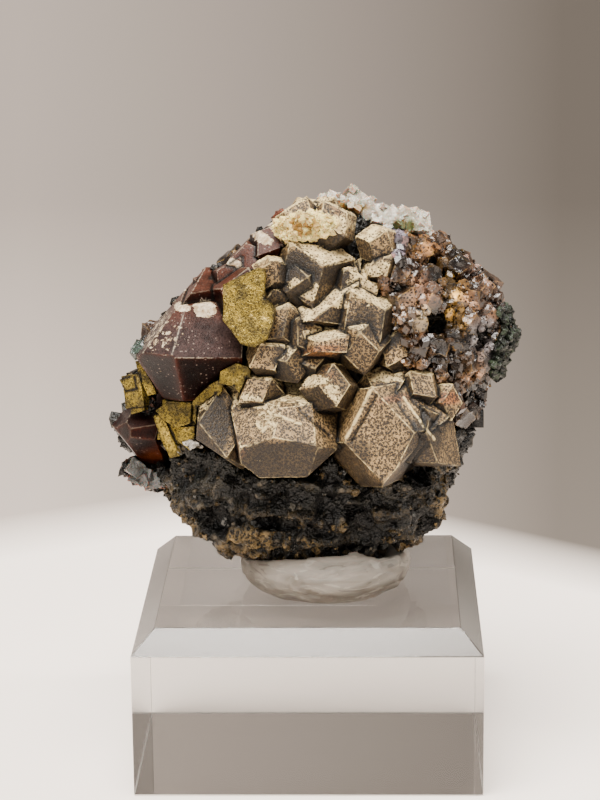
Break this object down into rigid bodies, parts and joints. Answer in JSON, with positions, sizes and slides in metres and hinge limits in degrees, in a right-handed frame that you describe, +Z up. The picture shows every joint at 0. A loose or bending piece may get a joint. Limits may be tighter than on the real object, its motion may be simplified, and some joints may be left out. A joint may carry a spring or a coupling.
{
  "type": "garnet specimen on a display block",
  "caption": "Cluster of andradite garnet crystals with pyrite and calcite on dark rock, held by a pad of putty on a clear chamfered block.",
  "frame": {"origin": "middle of the block's underside", "axes": "+Z up, the front of the specimen faces -Y, +X to the right as seen from the front"},
  "size_m": [0.0605, 0.0508, 0.0849],
  "materials": {
    "acrylic_block": "clear and polished, with fine cutting marks on the chamfer",
    "mounting_putty": "matt, pressed by hand, with grey swirls",
    "matrix": "rough and pitted",
    "garnet_cluster": "speckled crystal faces with a cream crust on those that face up",
    "garnet_dark_left": "glossy, with white crust in patches",
    "garnet_left_tip": "glossy",
    "garnet_crust": "sparkling small crystals",
    "pyrite_upper": "grainy and metallic",
    "pyrite_lower": "grainy and metallic",
    "pyrite_middle": "grainy and metallic",
    "pyrite_left": "grainy and metallic",
    "calcite_top": "translucent and white",
    "calcite_left": "clear and grey"
  },
  "bodies": {
    "root": {"acrylic_block": "acrylic_block", "mounting_putty": "mounting_putty", "matrix": "matrix", "garnet_cluster": "garnet_cluster", "garnet_dark_left": "garnet_dark_left", "garnet_left_tip": "garnet_left_tip", "garnet_crust": "garnet_crust", "pyrite_upper": "pyrite_upper", "pyrite_lower": "pyrite_lower", "pyrite_middle": "pyrite_middle", "pyrite_left": "pyrite_left", "calcite_top": "calcite_top", "calcite_left": "calcite_left"}
  },
  "joints": []
}
